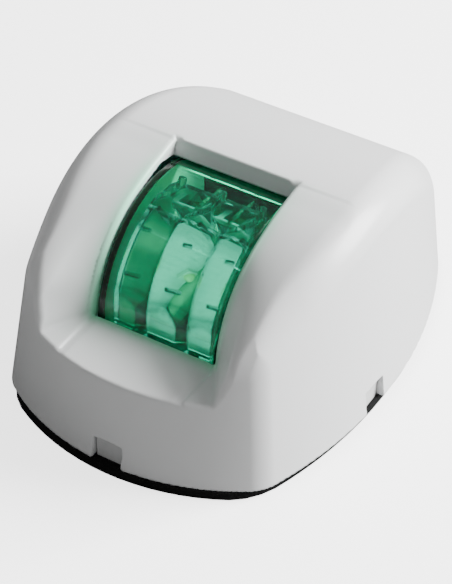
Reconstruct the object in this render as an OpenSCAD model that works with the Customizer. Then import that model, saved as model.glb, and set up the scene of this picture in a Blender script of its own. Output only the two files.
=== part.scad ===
// Compact LED sidelight for a small boat.
// A clip-on cover with a funnel window stands over a base plate, which carries a sealed lamp.
// Millimetres. Origin: centre of the underside. X runs across, Y to the back, Z up.
// The window faces -Y.

/* [Cover] */
// Width of the cover at its bottom edge
cover_w = 77.4; // [66:0.2:100]
// Depth of the cover at its bottom edge
cover_d = 103.4; // [98:0.2:124.2]
// Height of the crest above the surface that the light stands on
cover_h = 48; // [44:0.2:60]
// Thickness of the cover's walls
wall = 2; // [1.2:0.1:2.4]
// Plan radius of the bulging sides
side_r = 106; // [80:1:200]
// How far the plan radius of the front wall exceeds half the width
front_flat = 12.75; // [2:0.25:40]
// How far the plan radius of the back wall exceeds half the width
back_flat = 28.75; // [8:0.25:80]
// Front wall's foot, short of half the cover's depth.
front_set = 1.1; // [0:0.1:4]
// Draft of the walls in degrees
draft = 7.6; // [3:0.1:11]
// How far the radius of the barrel top exceeds half the depth
arch_over = 6.5; // [0.2:0.1:16]
// Distance of the crest behind the centre
crest_back = -0.2; // [-4:0.1:6]
// Distance of the widest point in front of the centre
waist_front = 0.9; // [-4:0.1:8]
// Rounding of the upright corners
corner_r = 2.2; // [1:0.1:8]
// Rounding between the sides and the top
shoulder_r = 6.5; // [2:0.1:10]
// Rounding between the front wall and the top
crease_r = 1.2; // [0.5:0.1:5]

/* [Window] */
// Clear width between the jambs at the lens
window_w = 28.6; // [24:0.2:32]
// Width of the opening at the outer edge of the lip
lip_w = 31; // [26:0.2:34]
// Width between the outer edges of the splayed jambs
flare_w = 44.8; // [38:0.2:50]
// Width between the splayed jambs at the sill
sill_w = 41.6; // [36:0.2:48]
// Height of the sill above the surface that the light stands on
sill_h = 22.5; // [21:0.1:26]
// Height of the lip above the lens
lip_h = 1.1; // [0.6:0.1:2]
// Angle of the header about the lens axis, from straight ahead
header_angle = 106; // [96:1:112]
// Width of each pry notch
notch_w = 6.8; // [4:0.1:10]
// Height of each pry notch
notch_h = 5.5; // [3:0.1:5.5]
// Distance of the side notches in front of the centre
notch_front = 5.7; // [-10:0.1:15]

/* [Lens] */
// Outer radius of the lens about its level axis
lens_r = 23.5; // [22:0.1:24.5]
// Thickness of the lens
lens_t = 2; // [1.2:0.1:2.4]
// Distance of the lens's face in front of the crest
lens_ahead = 31.9; // [31:0.1:35]
// Distance of the lens below the crest
lens_drop = 3.3; // [3:0.1:6]
// Depth of the lens from front to back
lens_depth = 44.2; // [42:0.1:46]
// Gap between the lens and the cover around it
lens_gap = 0.3; // [0.2:0.05:0.6]
// Width of the flange around the foot of the lens
flange_rim = 4.8; // [4.6:0.1:6]

/* [Base] */
// Thickness of the gasket
gasket_t = 2; // [1:0.1:3]
// Thickness of the base plate's floor
floor_t = 2.4; // [1.6:0.1:3]
// Height of the base plate's rim above its floor
rim_h = 5; // [4:0.1:8]
// Thickness of the base plate's rim
rim_t = 1.8; // [1.2:0.1:3]
// Gap between the rim and the cover
rim_gap = 0.9; // [0.7:0.05:1.5]
// Diameter of the mounting holes
mount_hole_d = 4.4; // [3:0.1:5]
// Diameter of the cable hole in the base plate
cable_hole_d = 10; // [8:0.1:11]
// Bore of the cable grommet
grommet_bore_d = 5.4; // [4:0.1:6.5]
// Height of the posts under the lamp
post_h = 3; // [2.6:0.1:5]
// Thickness of the lamp tray
tray_t = 2; // [1.6:0.1:3]
// Thickness of the lens seal
seal_t = 0.8; // [0.5:0.1:1.5]

/* [Electrics] */
// Number of LEDs across
led_count = 3; // [2:1:3]
// Distance of the outer LEDs from the ends of the optic
led_edge = 1.9; // [1.9:0.1:3]
// Thickness of the LED board and the driver board
board_t = 1.6; // [1:0.1:2]
// Thickness of the heat sink's back plate
sink_t = 3; // [2:0.1:3.5]
// Outer diameter of each lead
lead_d = 1.6; // [1:0.1:1.8]
// Distance between the two poles
pole_pitch = 8; // [6:0.2:9]

/* [Hidden] */
$fn = 48;
far = 90;
eps = 0.02;

// Body form
half_w = cover_w / 2;
half_d = cover_d / 2;
arch_r = half_d + arch_over;
front_r = half_w + front_flat;
back_r = half_w + back_flat;
cover_z = gasket_t;
flat_step = 3.75;
rise_step = 4.5;

// Levels of the stack
floor_z = gasket_t + floor_t;
rim_z = floor_z + rim_h;
tray_z = floor_z + post_h;
seal_z = tray_z + tray_t;
flange_z = seal_z + seal_t;
flange_t = 2;
flange_top = flange_z + flange_t;

// Lens and window
lens_w = window_w - 2 * lens_gap;
axis_y = crest_back - lens_ahead + lens_r;
axis_z = cover_h - lens_drop - lens_r;
lens_front = axis_y - lens_r;
lens_back = lens_front + lens_depth;
flange_w = lens_w + 2 * flange_rim;
seam_z = 30.4;
near_angle = 68;
corner_dip = 0.25;

// Lamp screws at the corners of the flange
lamp_screw_inset = 2.6;
lamp_screw_d = 3;
lamp_head_d = 5;
lamp_head_h = 1.8;
lamp_screw_xy = [
    for (sx = [-1, 1])
        for (y = [lens_front - flange_rim + lamp_screw_inset, lens_back + flange_rim - lamp_screw_inset])
            [sx * (flange_w / 2 - lamp_screw_inset), y]
];
post_d = 6;

// LED engine
led_z = axis_z + 2;
led_size = 3.5;
led_h = 0.8;
dome_r = 1.4;
optic_gap = 0.3;
half_bank = lens_w / 2 - lens_t - optic_gap;
led_pitch = 2 * (half_bank - led_edge) / (led_count - 1);
engine_w = 2 * half_bank - 0.2;
board_y = axis_y - 3.2;
board_top = led_z + 11.6;
pad_t = 0.5;
pad_y = board_y + board_t;
sink_y = pad_y + pad_t;
fin_y = sink_y + sink_t;
fin_l = 5;
fin_t = 1.4;
fin_count = 5;
foot_t = 2;
board_screw_x = 9;
board_screw_d = 2;
board_screw_l = board_t + pad_t + sink_t - 0.6;
board_screw_z = board_top - 3;
sink_screw_x = 7.5;
sink_screw_d = 2;
sink_screw_y = fin_y + 2.7;
small_head_d = 3.4;
small_head_h = 1.2;

// Optic
barrel_depth = 2.9;
barrel_r = (pow(led_pitch / 2, 2) + pow(barrel_depth, 2)) / (2 * barrel_depth);
barrel_crest = lens_r - lens_t - 0.6;
optic_inner_r = 15.5;
optic_low = -12;
optic_high = 74;
crown_high = 103;
crown_r = 17.8;
crown_t = 1.6;
crown_lap = 2;
disc_r = led_pitch / 2 - 0.2;
disc_t = 2;

// Driver
driver_y = fin_y + fin_l + 3;
driver_back = driver_y + board_t;
driver_w = 22;
driver_top = seal_z + 20;
part_z = seal_z + 12.4;
chip_xz = [-0.4, -5.65];
chip_size = [4.9, 1.6, 3.9];
coil_xz = [-5.6, 1.1];
coil_size = [7, 3.8, 7];
can_xz = [5.4, 1.2];
can_d = 6.3;
can_l = 5.4;
diode_xz = [7.4, -5.3];
diode_size = [4.4, 2.3, 2.6];

// Terminal block and leads
grommet_lip = 1.5;
block_w = pole_pitch + 9;
block_l = 11;
block_h = 8.6;
lead_share = 0.5;
cable_share = 0.38;
lamp_back = lens_back + flange_rim;
grommet_w = cable_hole_d + 2 * grommet_lip;
rim_inside = half_d - (rim_z - cover_z) * tan(draft) - wall / cos(draft) - rim_gap - rim_t;
rear_room = rim_inside - lamp_back - block_l - grommet_w;
block_y = lamp_back + lead_share * rear_room;
pole_z = floor_z + 1.9;
sleeve_d = 3.4;
sleeve_bore_d = 2;
sleeve_inset = 0.4;
clamp_d = 2.4;
clamp_head_d = 3.4;
lead_drop_y = driver_back + 3;
lead_top_z = seal_z + 2.1;
lead_bend = 2.4;
lead_end_y = block_y + block_l / 2 - 1;
lead_route = [
    [driver_back, lead_top_z],
    [lead_drop_y, lead_top_z],
    [lead_drop_y, pole_z],
    [lead_end_y, pole_z]
];
plug_w = pole_pitch + 5;
plug_l = 5;
clamp_inset = 2.7;
clamp_y = [block_y + clamp_inset, block_y + block_l - clamp_inset];
clamp_top = floor_z + block_h - 1.2;
clamp_head_h = 1.8;
block_screw_d = 2.8;
block_head_d = 4.4;
block_head_h = 1.6;
block_sink = 3;
block_blind_t = 0.6;
block_screw_l = block_h - block_sink + floor_t - block_blind_t;
block_mid_y = block_y + block_l / 2;
link_x = 4;
link_d = 0.9;
link_bend = 1.8;
link_rise = 2.6;

// Rails on the tray that hold the driver board
rail_x = 9.3;
rail_w = 2.4;
rail_h = 4;
rail_t = 1.3;
rail_slack = 0.05;

// Base plate, its bosses and its cable grommet
boss_d = 9;
boss_h = 2;
blind_t = 1;
grommet_y = block_y + block_l + cable_share * rear_room + grommet_w / 2;
grommet_top_t = 1.2;
grommet_low_t = 1.5;
notch_over = 2;
tongue_slack = 0.3;
tongue_recess = 1.7;

// Mounting holes, inside the rim at the widest point
mount_edge = 7.25;
mount_y = -waist_front;
mount_x = reach([0, mount_y, rim_z], [1, 0, 0], wall + rim_gap + rim_t) - mount_edge;

// Clearances
head_slack = 0.2;
shank_slack = 0.2;
gasket_slack = 0.8;
grommet_slack = 0.3;

// Snap beads inside the cover, and the noses on the rim above them
catch_l = 9;
catch_h = 1.2;
catch_z = rim_z - 3.4;
nose_z = rim_z - 1.8;
catch_y = [-24, 20];
bead = 0.4;
bead_slack = 0.1;

// The gasket is a plain die-cut oval: narrower than the cover, and a little longer
gasket_side_inset = 1.1;
gasket_end_reach = 0.4;
gasket_bow_r = front_r - 0.5;
gasket_side_r = side_r + 4;
gasket_corner_r = 3;
gasket_half_w = half_w - gasket_side_inset;
gasket_half_d = half_d + gasket_end_reach;

// ---- Form of the cover ----

// Rounded intersection of two fields, each negative inside.
function blend_max(a, b, r) = min(max(a, b), -r) + norm([max(a + r, 0), max(b + r, 0)]);

// Plan fields of bulging sides and of bowed ends, each negative inside.
function side_plan(p, half, r) = norm([abs(p.x) + r - half, p.y + waist_front]) - r;
function end_plan(p, half, low_r, high_r) =
    max(norm([p.x, min(0, p.y + half - front_set - low_r)]) - low_r,
        norm([p.x, max(0, p.y - half + high_r)]) - high_r);
function arch_field(p) = norm([p.y - crest_back, p.z - cover_h + arch_r]) - arch_r;
function smooth(t) = let (u = max(0, min(1, t))) u * u * (3 - 2 * u);

// Field of the whole body, in millimetres from its surface and negative inside.
function body_field(p) =
    let (
        fall = (p.z - cover_z) * tan(draft),
        side = (side_plan(p, half_w, side_r) + fall) * cos(draft),
        end = (end_plan(p, half_d, front_r, back_r) + fall) * cos(draft),
        edge_r = crease_r + (shoulder_r - crease_r) * smooth((side - end) / 12 + 0.5)
    )
    blend_max(blend_max(side, end, corner_r), arch_field(p), edge_r);

// Distance from a point along a direction to the surface that lies inset inside the body.
function reach(from, along, inset, low = 0, high = far, steps = 18) =
    steps == 0 ? (low + high) / 2 :
    let (mid = (low + high) / 2)
    body_field(from + mid * along) < -inset
        ? reach(from, along, inset, mid, high, steps - 1)
        : reach(from, along, inset, low, mid, steps - 1);

// Plan outline of the inset body at one height.
function outline(z, inset) = [
    for (turn = [0:flat_step:359])
        let (along = [cos(turn), sin(turn), 0], d = reach([0, 0, z], along, inset))
        [d * along.x, d * along.y]
];

// Closed solid of the body inset by a distance, from the cover's bottom edge up.
module body_solid(inset, skirt) {
    turns = [0:flat_step:359];
    rises = [for (rise = [0:rise_step:89]) rise];
    n = len([for (turn = turns) turn]);
    rings = [
        for (rise = rises)
            for (turn = turns)
                let (along = [cos(rise) * cos(turn), cos(rise) * sin(turn), sin(rise)])
                [0, 0, cover_z] + reach([0, 0, cover_z], along, inset) * along
    ];
    low_ring = [for (i = [0:n - 1]) [rings[i].x, rings[i].y, cover_z - skirt]];
    crest = [0, 0, cover_z + reach([0, 0, cover_z], [0, 0, 1], inset)];
    points = concat(skirt > 0 ? low_ring : [], rings, [crest]);
    rows = len(rises) + (skirt > 0 ? 1 : 0);
    quads = [
        for (j = [0:rows - 2])
            for (i = [0:n - 1])
                let (a = j * n + i, b = j * n + (i + 1) % n)
                each [[a, b + n, b], [a, a + n, b + n]]
    ];
    cap = [for (i = [0:n - 1]) [(rows - 1) * n + i, rows * n, (rows - 1) * n + (i + 1) % n]];
    polyhedron(points, concat([[for (i = [0:n - 1]) i]], quads, cap));
}

// ---- Window ----

// Point in the Y-Z plane at an angle about the lens axis and a radius from it.
function about_axis(angle, r) = [axis_y - r * cos(angle), axis_z + r * sin(angle)];

// Radius from the lens axis to the skin of the body.
function skin_r(x, angle) =
    reach([x, axis_y, axis_z], [0, -cos(angle), sin(angle)], 0);

// Radius of the lip: it follows the lens, and near the header it follows the skin.
function lip_r(angle) =
    let (dip = skin_r(lip_w / 2, near_angle) - lens_r - lip_h)
    angle < near_angle ? lens_r + lip_h :
    skin_r(lip_w / 2, angle) - corner_dip
        - max(0, dip - corner_dip) * (header_angle - angle) / (header_angle - near_angle);

// Half the width between the outer edges of the splayed jambs at one height.
function flare_half(z) = sill_w / 2 + (flare_w - sill_w) / 2 * smooth((z - sill_h) / (seam_z - sill_h));

// Half of one section of the funnel, from the lip out past the skin, as [x, radius].
function funnel_half(angle, deeper) =
    let (
        lip_x = lip_w / 2,
        outer = lip_r(min(angle, header_angle)),
        lip = deeper == 0 ? outer : min(outer, lens_r + deeper),
        skin_guess = skin_r(flare_w / 2, angle),
        edge_x = flare_half(axis_z + skin_guess * sin(angle)),
        skin = skin_r(edge_x, angle),
        past = 2
    )
    [[lip_x, lip - deeper], [edge_x, skin - deeper],
        [edge_x + past, skin - deeper + (skin - outer) * past / (edge_x - lip_x) + corner_dip]];

// Solid that cuts the funnel window, or the same sunk deeper to leave its walls.
module funnel(deeper) {
    last = header_angle + atan(deeper / lens_r);
    angles = [for (i = [0:20]) last * i / 20];
    rows = [
        for (angle = angles)
            let (
                right = concat(funnel_half(angle, deeper), [[funnel_half(angle, deeper)[2].x, far]]),
                left = [for (i = [len(right) - 1:-1:0]) [-right[i].x, right[i].y]]
            )
            [for (s = concat(left, right)) let (q = about_axis(angle, s.y)) [s.x, q.x, q.y]]
    ];
    n = len(rows[0]);
    points = [for (row = rows) each row];
    sides = [
        for (j = [0:len(rows) - 2])
            for (i = [0:n - 1])
                let (a = j * n + i, b = j * n + (i + 1) % n)
                each [[a, b, b + n], [a, b + n, a + n]]
    ];
    first_cap = [for (i = [n - 1:-1:0]) i];
    last_cap = [for (i = [0:n - 1]) (len(rows) - 1) * n + i];
    intersection() {
        polyhedron(points, concat([first_cap], sides, [last_cap]));
        translate([-far, -far, sill_h - deeper]) cube([2 * far, 2 * far, far]);
    }
}

// Extrudes a Y-Z outline across the body, centred on X.
module across(width) {
    rotate([90, 0, 90]) linear_extrude(height = width, center = true) children();
}

// Hole between the jambs, in front of the header and above the sill.
module window_hole() {
    tip = about_axis(header_angle, far);
    foot_y = axis_y - (sill_h - axis_z) / tan(header_angle);
    across(window_w)
        polygon([[foot_y, sill_h], [-far, sill_h], [-far, far], tip]);
    // Room for the lens, down through the sill
    across(window_w)
        translate([axis_y, axis_z]) circle(r = lens_r + lens_gap, $fn = 96);
    across(window_w)
        translate([lens_front - lens_gap, sill_h - wall - 1]) square([lens_r, axis_z - sill_h + wall + 1]);
}

// ---- Small shared shapes ----

module box_at(x, y, z, w, d, h) {
    translate([x - w / 2, y, z]) cube([w, d, h]);
}

// Upright screw: its head rests at z, and its shank hangs below.
module screw_down(head_d, head_h, shank_d, shank_l) {
    cylinder(d = head_d, h = head_h);
    translate([0, 0, -shank_l]) cylinder(d = shank_d, h = shank_l + eps);
}

// Round wire in a Y-Z plane along right-angled legs, with bends of one radius.
module wire_path(points, d, bend) {
    last = len(points) - 1;
    for (i = [0:last - 1]) {
        a = points[i];
        b = points[i + 1];
        u = (b - a) / norm(b - a);
        start = a + u * (i == 0 ? 0 : bend);
        end = b - u * (i == last - 1 ? 0 : bend);
        translate([0, start.x, start.y])
            rotate([atan2(-u.x, u.y), 0, 0])
                cylinder(d = d, h = norm(end - start), $fn = 24);
    }
    for (i = [1:last - 1]) {
        back = (points[i - 1] - points[i]) / norm(points[i - 1] - points[i]);
        ahead = (points[i + 1] - points[i]) / norm(points[i + 1] - points[i]);
        centre = points[i] + (back + ahead) * bend;
        low_turn = min_turn(-ahead, -back);
        translate([0, centre.x, centre.y])
            rotate([90, 0, 90]) rotate([0, 0, low_turn])
                rotate_extrude(angle = 90, $fn = 48) translate([bend, 0]) circle(d = d, $fn = 24);
    }
}
// Lower of the two angles a right-angled bend spans, from its ends' directions.
function turn_of(v) = (atan2(v.y, v.x) + 360) % 360;
function min_turn(a, b) = (turn_of(b) - turn_of(a) + 360) % 360 < 180 ? turn_of(a) : turn_of(b);

// ---- Cover ----

// Distance of the cover's foot from the centre, at the notches in its ends and in its sides.
function foot_y(end) = reach([0, 0, cover_z], [0, end, 0], 0);
foot_x = reach([0, -notch_front, cover_z], [1, 0, 0], 0);

// Cuts through the foot of each wall, sized for a screwdriver blade.
module pry_notches() {
    deep = 2 * (wall / cos(draft) + notch_h * tan(draft) + notch_over);
    low_z = cover_z - notch_over;
    high = notch_h + notch_over;
    for (end = [-1, 1])
        box_at(0, end * foot_y(end) - deep / 2, low_z, notch_w, deep, high);
    for (side = [-1, 1])
        box_at(side * foot_x, -notch_front - notch_w / 2, low_z, deep, notch_w, high);
}

// Stands a child at a place along each side, with its X outwards from the centre of the side's curve.
module along_sides(y) {
    for (side = [0, 1])
        mirror([side, 0, 0])
            translate([half_w - side_r, -waist_front, 0])
                rotate([0, 0, asin((y + waist_front) / side_r)]) children();
}

// Radius of the inside of a side wall at one height.
function side_inside(z) = side_r - (z - cover_z) * tan(draft) - wall / cos(draft);

// Small beads inside the cover that sit under the noses of the base rim.
module catches() {
    for (y = catch_y)
        along_sides(y)
            box_at(side_inside(catch_z + catch_h) - bead / 2 + wall / 4, -catch_l / 2, catch_z,
                bead + wall / 2, catch_l, catch_h);
}

module cover() {
    color("white") {
        difference() {
            body_solid(0, 0);
            funnel(0);
            difference() {
                body_solid(wall, 1);
                funnel(wall);
            }
            window_hole();
            pry_notches();
        }
        catches();
    }
}

// ---- Base ----

module mount_holes(d) {
    for (side = [-1, 1])
        translate([side * mount_x, mount_y, -1]) cylinder(d = d, h = rim_z);
}

// Tongues on the rim that stand in the pry notches, a little behind the cover's face.
module pry_tongues() {
    tongue_w = notch_w - 2 * tongue_slack;
    tongue_h = notch_h - tongue_slack;
    for (end = [-1, 1]) {
        out = foot_y(end) - tongue_recess;
        low = reach([0, 0, rim_z], [0, end, 0], wall + rim_gap + rim_t / 2);
        box_at(0, end * (out + low) / 2 - (out - low) / 2, cover_z, tongue_w, out - low, tongue_h);
    }
    for (side = [-1, 1]) {
        out = foot_x - tongue_recess;
        low = reach([0, -notch_front, rim_z], [side, 0, 0], wall + rim_gap + rim_t / 2);
        box_at(side * (out + low) / 2, -notch_front - tongue_w / 2, cover_z, out - low, tongue_w, tongue_h);
    }
}

// Noses on the rim that hold the cover's beads.
module rim_noses() {
    for (y = catch_y)
        along_sides(y)
            box_at(side_inside(rim_z) - bead - bead_slack - rim_gap / 2, -catch_l / 2, nose_z,
                rim_gap, catch_l, catch_h);
}

module base_plate() {
    color("gainsboro")
        difference() {
            union() {
                difference() {
                    translate([0, 0, gasket_t])
                        linear_extrude(height = floor_t + rim_h) polygon(outline(rim_z, wall + rim_gap));
                    translate([0, 0, floor_z])
                        linear_extrude(height = rim_h + 1) polygon(outline(rim_z, wall + rim_gap + rim_t));
                }
                pry_tongues();
                rim_noses();
                for (side = [-1, 1])
                    translate([side * mount_x, mount_y, floor_z - eps])
                        cylinder(d = boss_d, h = boss_h + eps);
                for (xy = lamp_screw_xy)
                    translate([xy.x, xy.y, floor_z - eps]) cylinder(d = post_d, h = post_h + eps);
            }
            mount_holes(mount_hole_d);
            translate([0, grommet_y, -1]) cylinder(d = cable_hole_d, h = far);
            for (xy = lamp_screw_xy)
                translate([xy.x, xy.y, gasket_t + blind_t]) cylinder(d = lamp_screw_d, h = far);
            translate([0, block_mid_y, gasket_t + block_blind_t]) cylinder(d = block_screw_d, h = far);
        }
}

function gasket_field(p) =
    blend_max(
        side_plan(p, gasket_half_w, gasket_side_r),
        end_plan(p, gasket_half_d, gasket_bow_r, gasket_bow_r),
        gasket_corner_r);
function gasket_reach(along, low = 0, high = far, steps = 18) =
    steps == 0 ? (low + high) / 2 :
    let (mid = (low + high) / 2)
    gasket_field(mid * along) < 0
        ? gasket_reach(along, mid, high, steps - 1)
        : gasket_reach(along, low, mid, steps - 1);

module base_gasket() {
    color("black")
        difference() {
            linear_extrude(height = gasket_t)
                polygon([
                    for (turn = [0:flat_step:359]) let (u = [cos(turn), sin(turn)]) gasket_reach(u) * u
                ]);
            mount_holes(mount_hole_d + 2 * gasket_slack);
            translate([0, grommet_y, -1])
                cylinder(d = grommet_w + 2 * grommet_slack, h = far);
        }
}

module cable_grommet() {
    color("dimgray")
        translate([0, grommet_y, 0])
            difference() {
                union() {
                    translate([0, 0, gasket_t - grommet_low_t])
                        cylinder(d = grommet_w, h = grommet_low_t);
                    translate([0, 0, gasket_t - eps]) cylinder(d = cable_hole_d, h = floor_t + 2 * eps);
                    translate([0, 0, floor_z])
                        cylinder(d = grommet_w, h = grommet_top_t);
                }
                translate([0, 0, -1]) cylinder(d = grommet_bore_d, h = far);
            }
}

// ---- Lamp ----

// Upright block under the flange outline of the lens.
module flange_block(z, h, inset) {
    rim = flange_rim - inset;
    box_at(0, lens_front - rim, z, lens_w + 2 * rim, lens_depth + 2 * rim, h);
}

module lamp_screw_holes(d) {
    for (xy = lamp_screw_xy)
        translate([xy.x, xy.y, -1]) cylinder(d = d, h = far);
}

module lamp_tray() {
    color("whitesmoke")
        difference() {
            union() {
                flange_block(tray_z, tray_t, 0);
                for (side = [-1, 1])
                    for (y = [driver_y - rail_slack - rail_t, driver_back + rail_slack])
                        box_at(side * rail_x, y, seal_z - eps, rail_w, rail_t, rail_h + eps);
            }
            lamp_screw_holes(lamp_screw_d + 2 * shank_slack);
            for (side = [-1, 1])
                translate([side * sink_screw_x, sink_screw_y, 0]) cylinder(d = sink_screw_d, h = far);
            box_at(0, lead_drop_y - plug_l / 2, tray_z - 1, plug_w, plug_l, tray_t + 2);
        }
}

// Cap shape of the lens: an upright box under a round top, shrunk by a wall.
module cap_shape(inset, low_z) {
    r = lens_r - inset;
    w = lens_w - 2 * inset;
    intersection() {
        union() {
            across(w) translate([axis_y, axis_z]) circle(r = r, $fn = 96);
            box_at(0, axis_y - r, low_z, w, 2 * r, axis_z - low_z);
        }
        box_at(0, lens_front + inset, low_z, w, lens_depth - 2 * inset, far);
    }
}

module lens() {
    color("green", 0.6)
        difference() {
            union() {
                cap_shape(0, flange_z);
                flange_block(flange_z, flange_t, 0);
            }
            cap_shape(lens_t, flange_z - 1);
            lamp_screw_holes(lamp_screw_d + 2 * shank_slack);
        }
}

module lens_seal() {
    color("dimgray")
        difference() {
            flange_block(seal_z, seal_t, 0.5);
            box_at(0, lens_front + lens_t, 0, lens_w - 2 * lens_t, lens_depth - 2 * lens_t, far);
            lamp_screw_holes(lamp_screw_d + 2 * shank_slack);
        }
}

module lamp_screws() {
    color("silver")
        for (xy = lamp_screw_xy)
            translate([xy.x, xy.y, flange_top])
                screw_down(lamp_head_d, lamp_head_h, lamp_screw_d, flange_top - gasket_t - blind_t);
}

// ---- LED engine ----

function led_x(i) = (i - (led_count - 1) / 2) * led_pitch;

// Three toroidal barrels side by side around the lens axis, on two legs, under a crown with flat discs.
module barrel_optic() {
    web_t = 3;
    leg_w = 3.4;
    leg_t = 3;
    leg_inset = 0.2;
    leg_y = axis_y - barrel_crest + 1.4;
    color("palegreen", 0.7) {
        translate([0, axis_y, axis_z])
            rotate([0, 90, 0]) rotate([0, 0, 270 - optic_high])
                rotate_extrude(angle = optic_high - optic_low, $fn = 96)
                    difference() {
                        union() {
                            for (i = [0:led_count - 1])
                                translate([barrel_crest - barrel_r, led_x(i)]) circle(r = barrel_r);
                            translate([optic_inner_r, -half_bank]) square([web_t, 2 * half_bank]);
                        }
                        translate([0, -far]) square([optic_inner_r, 2 * far]);
                        for (s = [-1, 1])
                            translate([0, s * (half_bank + far / 2) - far / 2]) square([far, far]);
                    }
        for (side = [-1, 1])
            box_at(side * (half_bank - leg_inset - leg_w / 2), leg_y, seal_z, leg_w, leg_t, axis_z - seal_z);
        translate([0, axis_y, axis_z])
            rotate([0, 90, 0]) rotate([0, 0, 270 - crown_high])
                rotate_extrude(angle = crown_high - optic_high + crown_lap, $fn = 96)
                    translate([crown_r, -half_bank]) square([crown_t, 2 * half_bank]);
        for (i = [0:led_count - 2])
            translate([led_x(i) + led_pitch / 2, axis_y, axis_z + crown_r])
                cylinder(r = disc_r, h = disc_t);
    }
}

module led_board() {
    color("whitesmoke")
        difference() {
            box_at(0, board_y, seal_z, engine_w, board_t, board_top - seal_z);
            board_screw_holes();
        }
}

module board_screw_holes() {
    for (side = [-1, 1])
        translate([side * board_screw_x, board_y - 1, board_screw_z])
            rotate([-90, 0, 0]) cylinder(d = board_screw_d, h = 1 + board_t + pad_t + sink_t + eps);
}

module led_packages() {
    color("ivory")
        for (i = [0:led_count - 1])
            box_at(led_x(i), board_y - led_h, led_z - led_size / 2, led_size, led_h, led_size);
}

module led_domes() {
    color("khaki", 0.8)
        for (i = [0:led_count - 1])
            translate([led_x(i), board_y - led_h, led_z])
                intersection() {
                    sphere(r = dome_r);
                    box_at(0, -2 * dome_r, -dome_r, 2 * dome_r, 2 * dome_r, 2 * dome_r);
                }
}

module thermal_pad() {
    color("lightblue")
        difference() {
            box_at(0, pad_y, seal_z + 0.5, engine_w - 1, pad_t, board_top - seal_z - 1);
            board_screw_holes();
        }
}

module heat_sink() {
    color("silver")
        difference() {
            union() {
                box_at(0, sink_y, seal_z, engine_w, sink_t, board_top - seal_z);
                box_at(0, fin_y - eps, seal_z, engine_w, fin_l + eps, foot_t);
                for (i = [0:fin_count - 1])
                    box_at((i / (fin_count - 1) - 0.5) * (engine_w - fin_t), fin_y - eps, seal_z,
                        fin_t, fin_l + eps, board_top - seal_z);
            }
            board_screw_holes();
            for (side = [-1, 1])
                translate([side * sink_screw_x, sink_screw_y, 0]) cylinder(d = sink_screw_d, h = far);
            // The screw heads stand between the fins
            for (side = [-1, 1])
                translate([side * sink_screw_x, sink_screw_y, seal_z + foot_t])
                    cylinder(d = small_head_d + 2 * head_slack, h = far);
        }
}

module board_screws() {
    color("silver")
        for (side = [-1, 1])
            translate([side * board_screw_x, board_y, board_screw_z])
                rotate([90, 0, 0])
                    screw_down(small_head_d, small_head_h, board_screw_d, board_screw_l);
}

module sink_screws() {
    color("silver")
        for (side = [-1, 1])
            translate([side * sink_screw_x, sink_screw_y, seal_z + foot_t])
                screw_down(small_head_d, small_head_h, sink_screw_d, foot_t + tray_t);
}

// ---- Driver ----

module driver_board() {
    color("darkgreen")
        box_at(0, driver_y, seal_z, driver_w, board_t, driver_top - seal_z);
}

// Block on the back of the driver board: its middle, and its size off the board.
module on_board(x, z, w, d, h) {
    box_at(x, driver_back, part_z + z - h / 2, w, d, h);
}

module driver_chip() {
    color("black") on_board(chip_xz.x, chip_xz.y, chip_size.x, chip_size.y, chip_size.z);
}

module inductor() {
    color("dimgray") on_board(coil_xz.x, coil_xz.y, coil_size.x, coil_size.y, coil_size.z);
}

module capacitor() {
    color("silver")
        translate([can_xz.x, driver_back, part_z + can_xz.y])
            rotate([-90, 0, 0]) cylinder(d = can_d, h = can_l);
}

module protection_diode() {
    color("black") on_board(diode_xz.x, diode_xz.y, diode_size.x, diode_size.y, diode_size.z);
}

// Two jumper wires over the top of the heat sink, from board to board.
module board_links() {
    over_z = board_top + link_rise;
    color("silver")
        for (side = [-1, 1])
            translate([side * link_x, 0, 0])
                wire_path([
                    [board_y + board_t / 2, board_top],
                    [board_y + board_t / 2, over_z],
                    [driver_y + board_t / 2, over_z],
                    [driver_y + board_t / 2, driver_top]
                ], link_d, link_bend);
}

// ---- Leads and terminals ----

module lead(side) {
    translate([side * pole_pitch / 2, 0, 0]) wire_path(lead_route, lead_d, lead_bend);
}

module red_lead() {
    color("red") lead(-1);
}

module black_lead() {
    color("black") lead(1);
}

module potting_plug() {
    color("dimgray")
        difference() {
            box_at(0, lead_drop_y - plug_l / 2, tray_z, plug_w, plug_l, tray_t);
            for (side = [-1, 1]) lead(side);
        }
}

module terminal_block() {
    color("ivory")
        difference() {
            box_at(0, block_y, floor_z, block_w, block_l, block_h);
            for (side = [-1, 1]) {
                translate([side * pole_pitch / 2, block_y - 1, pole_z])
                    rotate([-90, 0, 0]) cylinder(d = sleeve_d, h = block_l + 2);
                for (y = clamp_y)
                    translate([side * pole_pitch / 2, y, pole_z])
                        cylinder(d = clamp_head_d + 2 * head_slack, h = far);
            }
            translate([0, block_mid_y, 0]) cylinder(d = block_screw_d, h = far);
            translate([0, block_mid_y, floor_z + block_h - block_sink])
                cylinder(d = block_head_d + 2 * head_slack, h = far);
        }
}

module terminal_sleeves() {
    color("goldenrod")
        for (side = [-1, 1])
            difference() {
                translate([side * pole_pitch / 2, block_y + sleeve_inset, pole_z])
                    rotate([-90, 0, 0]) cylinder(d = sleeve_d, h = block_l - 2 * sleeve_inset);
                translate([side * pole_pitch / 2, block_y - 1, pole_z])
                    rotate([-90, 0, 0]) cylinder(d = sleeve_bore_d, h = block_l + 2);
                for (y = clamp_y)
                    translate([side * pole_pitch / 2, y, pole_z]) cylinder(d = clamp_d, h = far);
            }
}

module terminal_screws() {
    tip_z = pole_z + lead_d / 2;
    seat_z = clamp_top - clamp_head_h;
    color("silver")
        for (side = [-1, 1])
            for (y = clamp_y)
                translate([side * pole_pitch / 2, y, seat_z])
                    screw_down(clamp_head_d, clamp_head_h, clamp_d, seat_z - tip_z);
}

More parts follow.
